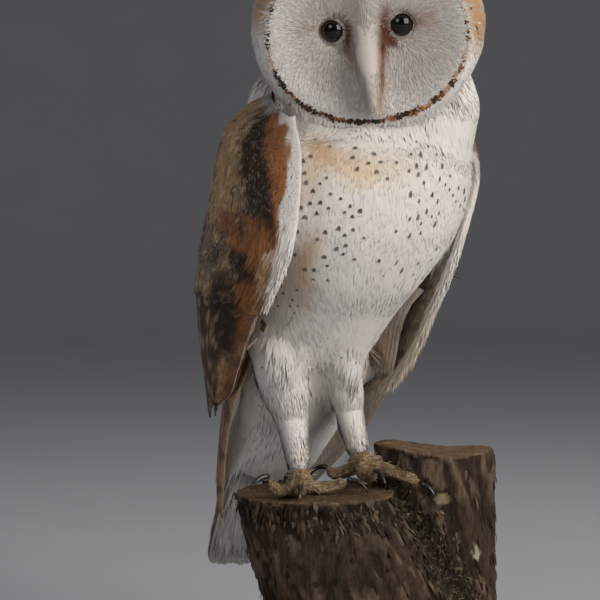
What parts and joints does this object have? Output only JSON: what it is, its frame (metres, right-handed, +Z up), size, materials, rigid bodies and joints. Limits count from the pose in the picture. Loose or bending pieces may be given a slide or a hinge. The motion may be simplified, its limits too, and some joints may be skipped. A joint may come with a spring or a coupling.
{
  "type": "mounted barn owl",
  "caption": "Life-size barn owl, mounted as a still museum specimen, standing with folded wings on a forked upright log with a flat sawn base.",
  "frame": {"origin": "centre of the log's flat base, where the mount stands", "axes": "+Z up, along the standing bird's longest extent; -Y is the way the face looks; +X is to the bird's left"},
  "size_m": [0.1686, 0.1972, 0.422],
  "materials": {
    "plumage_white": "soft white body plumage",
    "plumage_buff": "buff and grey wing feathers",
    "eye": "glossy black glass eye",
    "bill": "ivory horn",
    "claw": "polished dark horn",
    "toe_skin": "scaly ochre skin with bristles",
    "bark": "dry rough bark"
  },
  "bodies": {
    "root": {"head": "plumage_white", "bill": "bill", "eye_right": "eye", "eye_left": "eye", "neck": "plumage_white", "trunk": "plumage_white", "vent": "plumage_white", "tail": "plumage_white", "wing_right": "plumage_buff", "wing_left": "plumage_buff", "primaries_right": "plumage_buff", "primaries_left": "plumage_buff", "thigh_right": "plumage_white", "thigh_left": "plumage_white", "shank_right": "plumage_white", "shank_left": "plumage_white", "foot_right": "toe_skin", "foot_left": "toe_skin", "claw_right_hind": "claw", "claw_right_inner": "claw", "claw_right_middle": "claw", "claw_right_outer": "claw", "claw_left_hind": "claw", "claw_left_inner": "claw", "claw_left_middle": "claw", "claw_left_outer": "claw", "log": "bark"}
  },
  "joints": []
}
